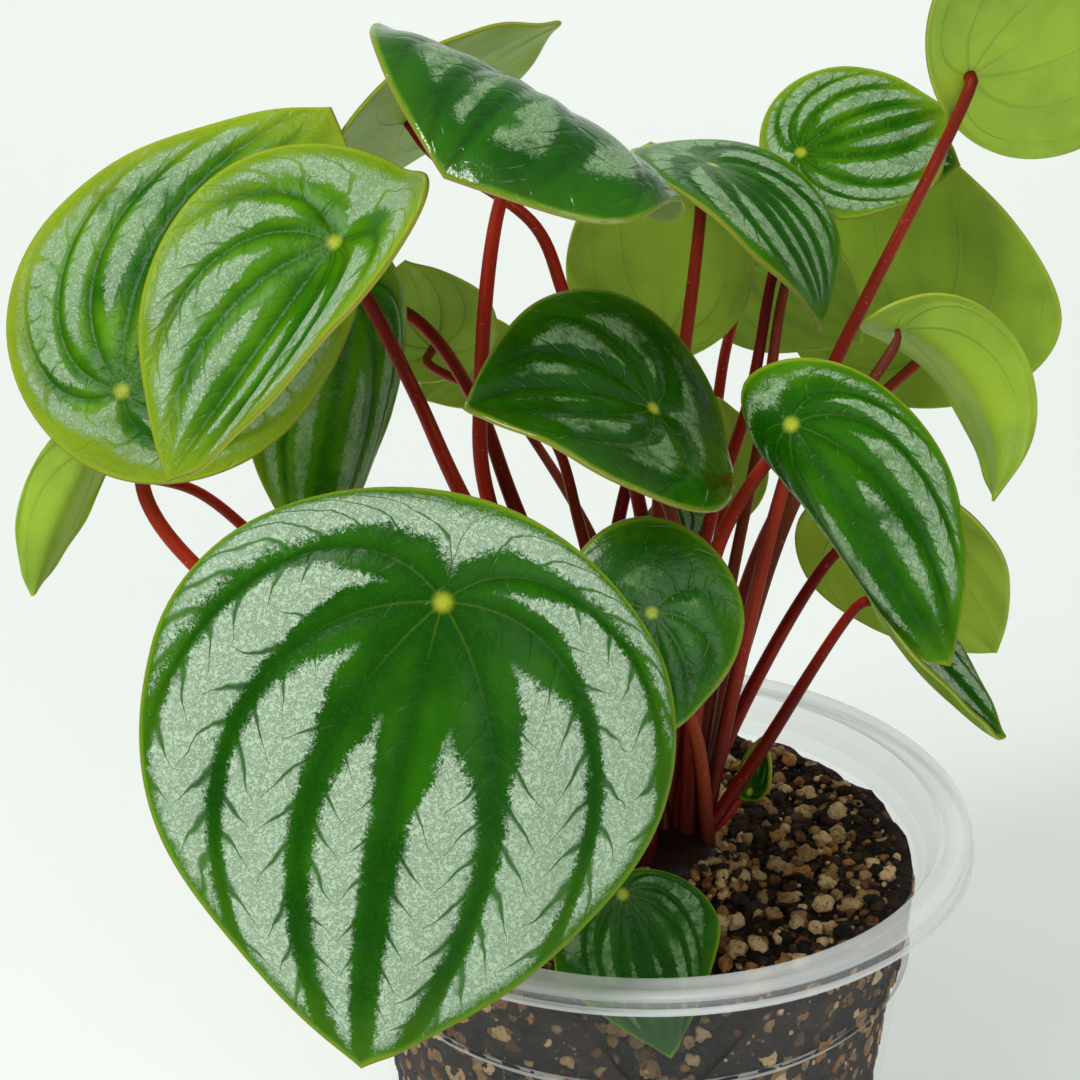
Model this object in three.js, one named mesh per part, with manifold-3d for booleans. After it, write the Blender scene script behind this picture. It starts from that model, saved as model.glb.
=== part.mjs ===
// A potted watermelon-leaved house plant: round shield-shaped leaves on long red stalks,
// a stub of stem standing in a hole in the soil, and a clear thin-walled pot with a wide rim.
// Millimetres, +Z up, origin at the centre of the pot's underside, front towards -Y.

import * as THREE from 'three';
import Module from 'manifold-3d';

const wasm = await Module();
wasm.setup();

// Pot

const RIM_RADIUS = 66.2;          // outside of the rim's skirt
const RIM_TOP = 106;              // height of the pot
const MOUTH_RADIUS = 59.2;        // inner edge of the flat rim
const SKIRT_HEIGHT = 4.4;         // how far the rim's skirt hangs down
const WALL = 1.2;
const BODY_TOP_RADIUS = 57;       // outside of the wall just under the rim
const LEDGE_HEIGHT = 78;          // stacking ledge round the wall
const LEDGE_DEPTH = 1.2;
const BASE_RADIUS = 47;
const FLOOR = 1.6;                // thickness of the pot's bottom
const POT_SIDES = 42;

// Soil

const GAP = 0.3;                  // clearance between neighbouring pieces
const SOIL_TOP = 97;
const SOIL_SIDES = 32;
const SOIL_RINGS = [14, 26, 36, 44];
const GRAIN_COUNT = 44;           // large grains that stand out of the surface
const DIP = { x: 4, y: -53, depth: 20, width: 15 };   // hollow that the low front leaf hangs in

// Crown: the short stem that all stalks grow from

const CROWN = { x: 6, y: -11, radius: 10.4, bottom: 86, top: 105.4 };
const ROOT_RADII = [7.6, 4.2];    // stalks leave the crown in two rings
const STALK_SIDES = 7;
const STALK_STEP = 15;            // length of one facet along a stalk
const STALK_TIP = 0.45;           // width left at the very end, under the blade
const STALK_SHOULDER = 1.6;       // length over which the end narrows

// Leaves. navel: where the stalk meets the blade. tip: the blade's point. face: the way its
// upper side looks. wide: width as a share of the length. back: share of the length behind
// the navel. broad: share of the length, from the back, at which the blade is widest.
// full: how full the margin is in front of that, on the two sides. fold, curl: degrees by
// which each side is raised at the midrib and over its width. open: share of the fold at the
// blade's back. bend: degrees by which the midrib droops in front of and behind the navel.
// sway: degrees by which it turns sideways. neck: length over which the stalk meets the blade
// squarely. by: points on the stalk's way.

const USUAL = {
  wide: 0.85, back: 0.2, broad: 0.42, full: [2.2, 2.2], fold: [0, 0], open: 0.75,
  curl: [-12, -12], bend: [12, 15], sway: 0, neck: 8, by: [],
};

const LEAVES = [
  { name: 'leaf_front_large', navel: [-35.5, -60, 179], tip: [-49.5, -84, 104], face: [0, -7, 7],
    wide: 0.93, back: 0.19, broad: 0.4, full: [2.6, 2.0], curl: [-10, -35], bend: [12, 25],
    sway: -14, by: [[0.5, -16, 114], [-17.5, -38, 147]] },
  { name: 'leaf_left_large', navel: [-96.5, 0, 194], tip: [-58.5, 25, 241], face: [0, -7, 7],
    wide: 0.8, back: 0.19, full: [2.4, 1.9], curl: [-10, -15], bend: [10, 15], sway: 20,
    by: [[-17.5, -6, 113], [-63.5, -6, 144], [-83.5, 0, 157], [-94.5, 6, 170]] },
  { name: 'leaf_left_folded', navel: [-54.5, -22, 229], tip: [-82.5, -42, 193], face: [0, -7, 7],
    wide: 0.76, back: 0.27, full: [2.2, 1.5], fold: [0, 60], open: 0.95, curl: [0, -10],
    bend: [10, 15], neck: 6,
    by: [[-7.5, -10, 127], [-33.5, -13, 178], [-41.5, -14, 198], [-48.5, -15, 214]] },
  { name: 'leaf_top_draped', navel: [-18.5, 5, 245], tip: [-35.5, -30, 243], face: [7, -2, 18],
    wide: 0.96, back: 0.34, full: [2.6, 8], curl: [-8, -14], bend: [98, -8],
    by: [[-29.5, 5, 171], [-30.5, 6, 194], [-27.5, 6, 225]] },
  { name: 'leaf_centre', navel: [0.5, -15, 196], tip: [-32.5, -32, 203], face: [0, -8, 8],
    wide: 0.84, back: 0.34, full: [2.3, 2.0], fold: [0, 30], curl: [-10, -20],
    bend: [20, 20], sway: -35, by: [[5.5, -5, 170]] },
  { name: 'leaf_top_back', navel: [-45.5, 48, 233], tip: [-15.5, 53, 251], face: [-4, 9, 16],
    wide: 1.0, back: 0.36, curl: [0, 0], bend: [10, 10],
    by: [[-0.5, 14, 167], [-14.5, 27, 203], [-20.5, 33, 216]] },
  { name: 'leaf_right_bent', navel: [12.5, 20, 231], tip: [32.5, 8, 203], face: [8, -2, 6],
    wide: 0.85, back: 0.28, fold: [0, 8], curl: [-12, 0], bend: [70, 20], neck: 6,
    by: [[3.5, 8, 173], [7.5, 14, 195], [10.5, 19, 222]] },
  { name: 'leaf_right_striped', navel: [31.5, 45, 227], tip: [60.5, 50, 234], face: [0, -7, 7],
    wide: 0.88, full: [4.5, 2.6], curl: [-10, -10], bend: [10, 10],
    by: [[12.5, 12, 158], [21.5, 26, 183], [26.5, 38, 206]] },
  { name: 'leaf_right_tall', navel: [55.5, 0, 253], tip: [92.5, 5, 274], face: [0, 9, 4],
    wide: 1.06, back: 0.14, broad: 0.46, curl: [-10, -10], bend: [10, 10], neck: 1.6,
    by: [[17.5, -3, 132], [27.5, -2, 182], [34.5, -1, 200]] },
  { name: 'leaf_back_right', navel: [62.5, 71, 177], tip: [56.5, 68, 226], face: [2, 9, 3],
    wide: 0.93, back: 0.2, broad: 0.33, full: [2.2, 1.7], curl: [-10, -10], bend: [10, 10],
    neck: 3, by: [[28.5, 34, 155]] },
  { name: 'leaf_curled', navel: [49.5, 25, 198], tip: [68.5, 15, 166], face: [5, 8, 5],
    wide: 0.48, back: 0.14, fold: [50, 20], curl: [-10, -10], bend: [100, 0], sway: -10,
    neck: 2.5,
    by: [[20.5, 4, 141], [30.5, 12, 169]] },
  { name: 'leaf_right_front', navel: [24.5, -25, 197], tip: [51.5, -45, 160], face: [1, -9, 3],
    wide: 0.63, back: 0.2, fold: [-62, -5], curl: [-62, -12], bend: [20, 20], neck: 14,
    by: [[13.5, -4, 163], [22.5, -3, 181]] },
  { name: 'leaf_low_back', navel: [46.5, 25, 156], tip: [73.5, 25, 128], face: [3, 8, 3],
    wide: 0.8, back: 0.25, curl: [-10, -10], bend: [10, 10], neck: 2.5,
    by: [[18.5, 8, 119], [39.5, 20, 153]] },
  { name: 'leaf_low_folded', navel: [43.5, -5, 154], tip: [68.5, -15, 130], face: [6, -2, 7],
    wide: 0.68, back: 0.12, fold: [35, 20], curl: [0, 0], bend: [-40, 10], neck: 3,
    by: [[22.5, -5, 120]] },
  { name: 'leaf_centre_small', navel: [0.5, -28, 162], tip: [4.5, -35, 142], face: [0, -7, 7],
    wide: 0.85, back: 0.45, broad: 0.5, curl: [-15, -15], bend: [15, 15],
    by: [[10.5, -10, 127]] },
  { name: 'leaf_in_pot', navel: [-4.5, -42, 112], tip: [4.5, -50, 82], face: [0, -7, 7],
    wide: 0.87, back: 0.11, full: [1.15, 1.35], curl: [-15, -15], bend: [20, 15], neck: 5,
    by: [] },
  { name: 'leaf_left_hanging', navel: [-104.5, 12, 179], tip: [-118.5, 8, 149], face: [-4, 7, 4],
    wide: 0.42, back: 0.2, broad: 0.5, fold: [25, 60], curl: [0, 0], bend: [20, 15],
    by: [[-17.5, 4, 116], [-63.5, 8, 150], [-85.5, 14, 168]] },
  { name: 'leaf_left_behind', navel: [-54.5, 18, 208], tip: [-64.5, 8, 157], face: [1, -8, 3],
    wide: 0.56, back: 0.15, full: [2.2, 2.5], fold: [0, -42], curl: [-15, -25],
    bend: [20, 15], neck: 17, by: [[-24.5, 6, 169], [-32.5, 24, 184], [-44.5, 42, 194]] },
  { name: 'leaf_back_left_upper', navel: [-41.5, 53, 184], tip: [-46.5, 48, 204], face: [0, 8, 3],
    wide: 1.05, back: 0.25, curl: [-15, -15], bend: [20, 15],
    by: [[-11.5, 14, 160], [-18.5, 28, 176]] },
  { name: 'leaf_back_left_lower', navel: [-30.5, 63, 180], tip: [-44.5, 61, 170], face: [0, 8, 3],
    wide: 1.0, back: 0.3, curl: [-15, -15], bend: [20, 15], by: [[-6.5, 18, 150]] },
  { name: 'leaf_back_centre', navel: [5.5, 42, 190], tip: [1.5, 35, 232], face: [0, 8, 3],
    wide: 0.78, back: 0.1, curl: [-15, -15], bend: [20, 15], by: [[-5.5, 14, 150]] },
  { name: 'leaf_back_middle', navel: [21.5, 60, 200], tip: [47.5, 60, 183], face: [0, 8, 3],
    wide: 0.8, back: 0.25, curl: [-15, -15], bend: [20, 15],
    by: [[14.5, 40, 150], [18.5, 56, 180]] },
  { name: 'leaf_right_behind', navel: [42.5, 57, 227], tip: [64.5, 55, 222], face: [0, -7, 7],
    wide: 0.9, back: 0.25, curl: [-15, -15], bend: [20, 15],
    by: [[17.5, 10, 149], [24.5, 26, 179], [29.5, 38, 205]] },
  { name: 'leaf_small_olive', navel: [17.5, 33, 159], tip: [15.5, 32, 181], face: [0, 8, 3],
    wide: 0.68, back: 0.2, curl: [-15, -15], bend: [20, 15], neck: 4,
    by: [[13.5, 24, 137]] },
  { name: 'leaf_small_dark', navel: [7.5, 20, 155], tip: [4.5, 18, 166], face: [0, -7, 4],
    wide: 0.9, back: 0.25, curl: [-15, -15], bend: [20, 15], neck: 4, by: [[8.5, 24, 143]] },
  { name: 'leaf_young', navel: [22.5, 5.5, 107], tip: [24.5, 5.5, 119], face: [0, -7, 3],
    wide: 0.6, back: 0.15, fold: [40, 40], curl: [10, 10], bend: [-10, 10], neck: 2,
    by: [[17, 4, 101]] },
];

const FOLIAGE = LEAVES.map((leaf) => ({ ...USUAL, ...leaf }));

const BLADE_THICKNESS = 1.0;
const MARGIN_THICKNESS = 0.8;
const CREASE = 0.05;              // half width of the midrib's fold, as a share of the length
const BLADE_RINGS = [0.3, 0.58, 0.82, 1];
const BLADE_DIRECTIONS = 24;

const COLOUR = {
  blade: 0x2f7a26, stalk: 0x8e1c22, soil: 0x2a1c14, pot: 0xe4e8e8,
};

// Small tools

const clamp01 = (value) => Math.min(1, Math.max(0, value));
const radians = (degrees) => degrees * Math.PI / 180;
const vector = (p) => new THREE.Vector3(p[0], p[1], p[2]);

/** Repeatable random numbers from 0 to 1. */
function randomSource(seed) {
  let state = seed;
  return () => {
    state = (state * 1664525 + 1013904223) % 4294967296;
    return state / 4294967296;
  };
}

function geometryFrom(points, triangles) {
  const geometry = new THREE.BufferGeometry();
  geometry.setAttribute('position', new THREE.Float32BufferAttribute(points.flat(), 3));
  geometry.setIndex(triangles.flat());
  geometry.computeVertexNormals();
  return geometry;
}

function solidFrom(points, triangles) {
  return new wasm.Manifold(new wasm.Mesh({
    numProp: 3,
    vertProperties: new Float32Array(points.flat()),
    triVerts: new Uint32Array(triangles.flat()),
  }));
}

function geometryFromSolid(solid) {
  const mesh = solid.getMesh();
  const geometry = new THREE.BufferGeometry();
  geometry.setAttribute('position', new THREE.BufferAttribute(mesh.vertProperties, 3));
  geometry.setIndex(new THREE.BufferAttribute(mesh.triVerts, 1));
  geometry.computeVertexNormals();
  return geometry;
}

/** A closed solid of stacked rings of points, with a point at each end. */
function ringSolid(rings, firstEnd, lastEnd) {
  const sides = rings[0].length;
  const points = [...rings.flat(), firstEnd, lastEnd];
  const first = points.length - 2;
  const last = points.length - 1;
  const triangles = [];
  for (let side = 0; side < sides; side += 1) {
    const next = (side + 1) % sides;
    triangles.push([first, next, side]);
    const top = (rings.length - 1) * sides;
    triangles.push([last, top + side, top + next]);
    for (let ring = 0; ring + 1 < rings.length; ring += 1) {
      const a = ring * sides + side;
      const b = ring * sides + next;
      triangles.push([a, b, b + sides], [a, b + sides, a + sides]);
    }
  }
  return { points, triangles };
}

// The leaf blade. Its flat outline has a length of 1 with the navel at 0,0 and the tip at +Y.
// A vein is numbered from -1 to 1: 0 is the midrib, the sign is its side, 1 points backwards.

function marginPoint(leaf, share, side) {
  const widest = 0.56;
  const middle = leaf.broad - leaf.back;
  const halfWidth = leaf.wide / 2;
  if (share < widest) {
    const towardsTip = (1 - share / widest) ** 0.9;
    const full = leaf.full[side > 0 ? 0 : 1];
    return [
      side * halfWidth * (1 - towardsTip ** full),
      middle + (1 - leaf.back - middle) * towardsTip,
    ];
  }
  const turn = (share - widest) / (1 - widest) * Math.PI / 2;
  return [side * halfWidth * Math.cos(turn), middle - leaf.broad * Math.sin(turn)];
}

/** Point on a vein, which leaves the navel straight and then curves towards the tip. */
function veinPoint(leaf, vein, along) {
  const side = vein < 0 ? -1 : 1;
  const [endX, endY] = marginPoint(leaf, Math.abs(vein) ** 1.7, side);
  const reach = Math.hypot(endX, endY) * 0.5;
  const angle = Math.abs(vein) * Math.PI;
  const bow = 2 * along * (1 - along);
  return [
    bow * side * Math.sin(angle) * reach + along * along * endX,
    bow * Math.cos(angle) * reach + along * along * endY,
  ];
}

/** Point of the flat blade after folding, curling, bending and swaying it. */
function bentPoint(leaf, x, y) {
  const sideIndex = x >= 0 ? 0 : 1;
  const opening = leaf.open + (1 - leaf.open) * clamp01((y + leaf.back) / 0.5);
  const fold = radians(leaf.fold[sideIndex]) * opening;
  const curl = radians(leaf.curl[sideIndex]);
  const distance = Math.abs(x);
  const steps = 12;
  let across = 0;
  let rise = 0;
  for (let step = 0; step < steps; step += 1) {
    const d = distance * (step + 0.5) / steps;
    const angle = fold * Math.tanh(d / CREASE) + curl * d / (leaf.wide / 2);
    across += Math.cos(angle) * distance / steps;
    rise += Math.sin(angle) * distance / steps;
  }
  across *= Math.sign(x);
  const frontLength = 1 - leaf.back;
  const droop = (v) => (v > 0
    ? radians(leaf.bend[0]) * v / frontLength
    : radians(leaf.bend[1]) * v / leaf.back);
  let along = 0;
  let aside = 0;
  let sink = 0;
  for (let step = 0; step < steps; step += 1) {
    const v = y * (step + 0.5) / steps;
    const turn = radians(leaf.sway) * clamp01(v / frontLength) ** 2;
    along += Math.cos(droop(v)) * Math.cos(turn) * y / steps;
    aside += Math.sin(turn) * y / steps;
    sink += Math.sin(droop(v)) * y / steps;
  }
  return new THREE.Vector3(
    across + aside,
    along + rise * Math.sin(droop(y)),
    rise * Math.cos(droop(y)) - sink,
  );
}

/** Turns and scales a bent blade so that its navel and tip lie where the leaf has them. */
function leafPlacement(leaf) {
  const navel = vector(leaf.navel);
  const toTip = vector(leaf.tip).sub(navel);
  const localTip = bentPoint(leaf, 0, 1 - leaf.back);
  const basis = (chord, facing) => {
    const y = chord.clone().normalize();
    const z = facing.clone().addScaledVector(y, -facing.dot(y)).normalize();
    return new THREE.Matrix4().makeBasis(new THREE.Vector3().crossVectors(y, z), y, z);
  };
  const local = basis(localTip, new THREE.Vector3(0, 0, 1));
  const world = basis(toTip, vector(leaf.face));
  const size = toTip.length() / localTip.length();
  const matrix = world.multiply(local.transpose());
  matrix.scale(new THREE.Vector3(size, size, size)).setPosition(navel);
  return { matrix, size };
}

/** Middle-surface point and upward normal of a placed blade. */
function bladeSample(leaf, placement, vein, along) {
  const [x, y] = veinPoint(leaf, vein, along);
  const h = 0.004;
  const at = (dx, dy) => bentPoint(leaf, x + dx, y + dy).applyMatrix4(placement.matrix);
  const acrossStep = at(h, 0).sub(at(-h, 0));
  const alongStep = at(0, h).sub(at(0, -h));
  return {
    point: at(0, 0),
    normal: new THREE.Vector3().crossVectors(acrossStep, alongStep).normalize(),
  };
}

function bladeGeometry(leaf) {
  const placement = leafPlacement(leaf);
  const small = placement.size < 35;
  const directions = small ? BLADE_DIRECTIONS * 2 / 3 : BLADE_DIRECTIONS;
  const alongs = small ? [0.4, 0.76, 1] : BLADE_RINGS;
  const faces = { upper: [], lower: [] };
  const addPair = (vein, along) => {
    const { point, normal } = bladeSample(leaf, placement, vein, along);
    const half = (BLADE_THICKNESS + (MARGIN_THICKNESS - BLADE_THICKNESS) * along) / 2;
    faces.upper.push(point.clone().addScaledVector(normal, half).toArray());
    faces.lower.push(point.clone().addScaledVector(normal, -half).toArray());
  };
  addPair(0, 0);
  for (const along of alongs) {
    for (let k = 0; k < directions; k += 1) {
      addPair(1 - 2 * (k + 0.5) / directions, along);
    }
  }
  const pointCount = faces.upper.length;
  const upper = [];
  const rim = [];
  for (let k = 0; k < directions; k += 1) {
    const next = (k + 1) % directions;
    upper.push([0, 1 + k, 1 + next]);
    for (let ring = 0; ring + 1 < alongs.length; ring += 1) {
      const a = 1 + ring * directions + k;
      const b = 1 + ring * directions + next;
      upper.push([a, a + directions, b + directions], [a, b + directions, b]);
    }
    const a = pointCount - directions + k;
    const b = pointCount - directions + next;
    rim.push([a, a + pointCount, b + pointCount], [a, b + pointCount, b]);
  }
  const lower = upper.map(([a, b, c]) => [a + pointCount, c + pointCount, b + pointCount]);
  return geometryFrom([...faces.upper, ...faces.lower], [...upper, ...lower, ...rim]);
}

// Stalks and crown

/** Radius of a leaf's stalk at a share of its length. */
function stalkThickness(leaf, share) {
  return (0.8 + 0.009 * leafPlacement(leaf).size) * (1.3 - 0.45 * share);
}

/** Greatest steepness at which a blade falls away from its navel on the stalk's side. */
function fallFromNavel(leaf, placement, normal) {
  const navel = vector(leaf.navel);
  const falls = Array.from({ length: BLADE_DIRECTIONS }, (_, k) => {
    const vein = 1 - 2 * (k + 0.5) / BLADE_DIRECTIONS;
    const away = bladeSample(leaf, placement, vein, BLADE_RINGS[0]).point.sub(navel);
    const angle = Math.asin(-away.dot(normal) / away.length());
    return Math.tan(angle);
  });
  return Math.max(0, ...falls);
}

/** Centre line of a leaf's stalk, from inside the crown to just under the navel. */
function stalkLine(leaf, index) {
  const placement = leafPlacement(leaf);
  const { normal } = bladeSample(leaf, placement, 0, 0.001);
  const navel = vector(leaf.navel);
  const seat = BLADE_THICKNESS / 2 + GAP
    + STALK_TIP * stalkThickness(leaf, 1) * fallFromNavel(leaf, placement, normal);
  const end = navel.clone().addScaledVector(normal, -seat);
  const approach = navel.clone().addScaledVector(normal, -leaf.neck);
  const aim = vector(leaf.by[0] ?? leaf.navel);
  const azimuth = Math.atan2(aim.y - CROWN.y, aim.x - CROWN.x);
  const reach = ROOT_RADII[index % 2];
  const root = new THREE.Vector3(
    CROWN.x + reach * Math.cos(azimuth),
    CROWN.y + reach * Math.sin(azimuth),
    99.5 + 1.5 * (index % 3),
  );
  return new THREE.CatmullRomCurve3([root, ...leaf.by.map(vector), approach, end], false,
    'centripetal');
}

function stalkSolid(leaf, index) {
  const line = stalkLine(leaf, index);
  const steps = Math.max(3, Math.round(line.getLength() / STALK_STEP));
  const rings = [];
  let sideways = new THREE.Vector3(1, 0, 0);
  const shoulder = 1 - STALK_SHOULDER / line.getLength();
  const shares = Array.from({ length: steps + 1 }, (_, step) => shoulder * step / steps);
  for (const share of [...shares, 1]) {
    const centre = line.getPointAt(share);
    const tangent = line.getTangentAt(share);
    sideways.addScaledVector(tangent, -sideways.dot(tangent)).normalize();
    const other = new THREE.Vector3().crossVectors(tangent, sideways);
    const radius = stalkThickness(leaf, share) * (share === 1 ? STALK_TIP : 1);
    rings.push(Array.from({ length: STALK_SIDES }, (_, side) => {
      const angle = 2 * Math.PI * side / STALK_SIDES;
      return centre.clone()
        .addScaledVector(sideways, radius * Math.cos(angle))
        .addScaledVector(other, radius * Math.sin(angle))
        .toArray();
    }));
  }
  const { points, triangles } = ringSolid(
    rings, line.getPointAt(0).toArray(), line.getPointAt(1).toArray());
  return solidFrom(points, triangles);
}

function crownSolid() {
  const { x, y, radius, bottom, top } = CROWN;
  const outline = [
    [radius - 1.5, bottom], [radius, bottom + 2], [radius, top - 7], [radius - 1.6, top - 2.5],
    [radius - 5, top],
  ];
  const sides = 20;
  const rings = outline.map(([r, z]) => Array.from({ length: sides }, (_, side) => {
    const angle = 2 * Math.PI * side / sides;
    return [x + r * Math.cos(angle), y + r * Math.sin(angle), z];
  }));
  const { points, triangles } = ringSolid(rings, [x, y, bottom], [x, y, top + 0.6]);
  return solidFrom(points, triangles);
}

function stemsGeometry() {
  const solid = FOLIAGE.reduce(
    (body, leaf, index) => body.add(stalkSolid(leaf, index)), crownSolid());
  return geometryFromSolid(solid);
}

// Pot and soil

/** Radius of the wall's outside at a height. */
function bodyRadius(z) {
  const slope = (BODY_TOP_RADIUS - BASE_RADIUS) / (RIM_TOP - 6.2);
  return BASE_RADIUS + slope * z - (z < LEDGE_HEIGHT ? LEDGE_DEPTH : 0);
}

const wallInside = (z) => bodyRadius(z) - WALL;

function potGeometry() {
  const skirtBottom = RIM_TOP - SKIRT_HEIGHT;
  const outline = [
    [0, 0],
    [bodyRadius(0) - 1.2, 0],
    [bodyRadius(1.2), 1.2],
    [bodyRadius(LEDGE_HEIGHT - 0.5), LEDGE_HEIGHT - 0.5],
    [bodyRadius(LEDGE_HEIGHT + 0.6), LEDGE_HEIGHT + 0.6],
    [BODY_TOP_RADIUS, RIM_TOP - 6.2],
    [BODY_TOP_RADIUS + 1.6, RIM_TOP - 5],
    [MOUTH_RADIUS + 1.4, RIM_TOP - 2],
    [RIM_RADIUS - 1.5, RIM_TOP - 1.9],
    [RIM_RADIUS - 1.1, skirtBottom],
    [RIM_RADIUS, skirtBottom],
    [RIM_RADIUS - 0.5, RIM_TOP - 0.7],
    [RIM_RADIUS - 1.2, RIM_TOP],
    [RIM_RADIUS - 2.6, RIM_TOP - 0.2],
    [RIM_RADIUS - 3.6, RIM_TOP - 0.8],
    [MOUTH_RADIUS + 2, RIM_TOP - 0.8],
    [MOUTH_RADIUS + 1.2, RIM_TOP - 0.1],
    [MOUTH_RADIUS, RIM_TOP - 0.7],
    [MOUTH_RADIUS - 1.9, RIM_TOP - 4.9],
    [wallInside(RIM_TOP - 6.2), RIM_TOP - 6.2],
    [wallInside(LEDGE_HEIGHT + 0.6), LEDGE_HEIGHT + 0.6],
    [wallInside(LEDGE_HEIGHT - 0.5), LEDGE_HEIGHT - 0.5],
    [wallInside(FLOOR + 1.5), FLOOR + 1.5],
    [wallInside(FLOOR) - 1.5, FLOOR],
    [0, FLOOR],
  ];
  const lathe = new THREE.LatheGeometry(
    outline.map(([r, z]) => new THREE.Vector2(r, z)), POT_SIDES);
  lathe.rotateX(Math.PI / 2);
  return lathe;
}

/** Height of the soil's surface: gentle lumps, a rise towards the crown and the front dip. */
function soilHeight(x, y) {
  const lumps = 0.7 * Math.sin(0.21 * x + 1.3) * Math.cos(0.17 * y)
    + 0.5 * Math.sin(0.37 * x - 0.29 * y + 2);
  const dip = Math.hypot(x - DIP.x, y - DIP.y) / DIP.width;
  return SOIL_TOP + lumps - DIP.depth * Math.exp(-dip * dip);
}

function soilBody() {
  const low = FLOOR + GAP;
  const side = (z) => wallInside(z) - GAP - 0.25;
  const ring = (radius, height) => Array.from({ length: SOIL_SIDES }, (_, k) => {
    const angle = 2 * Math.PI * k / SOIL_SIDES;
    const r = radius(angle);
    const x = r * Math.cos(angle);
    const y = r * Math.sin(angle);
    return [x, y, height(x, y)];
  });
  // at the wall the surface keeps to the wall's radius at its own height
  const edgeRadius = (angle) => {
    const r = side(SOIL_TOP);
    return side(soilHeight(r * Math.cos(angle), r * Math.sin(angle))) - 1.4;
  };
  const walls = [low + 2, LEDGE_HEIGHT - 0.5, LEDGE_HEIGHT + 0.6];
  const rings = [
    ring(() => side(low) - 1.8, () => low),
    ...walls.map((z) => ring(() => side(z), () => z)),
    ring(edgeRadius, (x, y) => soilHeight(x, y) - 0.8),
    ...[...SOIL_RINGS].reverse().map((r) => ring(() => r, soilHeight)),
  ];
  const { points, triangles } = ringSolid(rings, [0, 0, low], [0, 0, soilHeight(0, 0)]);
  return solidFrom(points, triangles);
}

function grainSolid(centre, radius, spin) {
  const shape = new THREE.IcosahedronGeometry(radius, 0);
  shape.rotateX(spin).rotateZ(2 * spin).scale(1, 0.9, 0.8);
  shape.translate(centre[0], centre[1], centre[2]);
  const points = [];
  const keys = new Map();
  const triangle = [];
  const position = shape.getAttribute('position');
  for (let i = 0; i < position.count; i += 1) {
    const p = [position.getX(i), position.getY(i), position.getZ(i)];
    const key = p.map((v) => v.toFixed(3)).join();
    if (!keys.has(key)) {
      keys.set(key, points.length);
      points.push(p);
    }
    triangle.push(keys.get(key));
  }
  return solidFrom(points, [triangle]);
}

function soilGeometry() {
  const hole = new THREE.Vector3(CROWN.x, CROWN.y, CROWN.bottom - GAP);
  const holeSides = 32;
  const holeRadius = (CROWN.radius + GAP) / Math.cos(Math.PI / holeSides);
  const ring = (z) => Array.from({ length: holeSides }, (_, side) => {
    const angle = 2 * Math.PI * side / holeSides;
    return [hole.x + holeRadius * Math.cos(angle), hole.y + holeRadius * Math.sin(angle), z];
  });
  const { points, triangles } = ringSolid(
    [ring(hole.z), ring(RIM_TOP)], [hole.x, hole.y, hole.z], [hole.x, hole.y, RIM_TOP]);
  let soil = soilBody();
  const random = randomSource(7);
  for (let k = 0; k < GRAIN_COUNT; k += 1) {
    const reach = 46 * Math.sqrt(random());
    const angle = 2 * Math.PI * random();
    const radius = 1.5 + 1.3 * random() ** 2;
    const x = reach * Math.cos(angle);
    const y = reach * Math.sin(angle);
    const clear = Math.hypot(x - CROWN.x, y - CROWN.y) > CROWN.radius + GAP + radius + 0.5;
    if (clear) {
      soil = soil.add(grainSolid([x, y, soilHeight(x, y) + radius * 0.15], radius, 5 * k));
    }
  }
  return geometryFromSolid(soil.subtract(solidFrom(points, triangles)));
}

// The plant in its pot

const plant = new THREE.Group();
plant.name = 'potted_peperomia';

function addPiece(name, geometry, color, roughness, more = {}) {
  const material = new THREE.MeshStandardMaterial({ color, roughness, metalness: 0, ...more });
  const mesh = new THREE.Mesh(geometry, material);
  mesh.name = name;
  plant.add(mesh);
}

addPiece('pot', potGeometry(), COLOUR.pot, 0.12, { transparent: true, opacity: 0.35 });
addPiece('soil', soilGeometry(), COLOUR.soil, 0.95);
addPiece('stems', stemsGeometry(), COLOUR.stalk, 0.35);
for (const leaf of FOLIAGE) {
  addPiece(leaf.name, bladeGeometry(leaf), COLOUR.blade, 0.35);
}

export default plant;
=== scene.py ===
"""Look of a potted plant with round striped leaves on red stalks, in a clear pot.

Metres, +Z up, origin under the middle of the pot, front towards -Y. Leaf and stalk shapes
repeat the solid model's table, in millimetres, in a finer mesh. Quilting between the veins,
a rounded margin, colour and gloss are added here.
"""
import math

import bmesh
import bpy
import numpy as np
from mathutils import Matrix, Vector, noise


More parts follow.
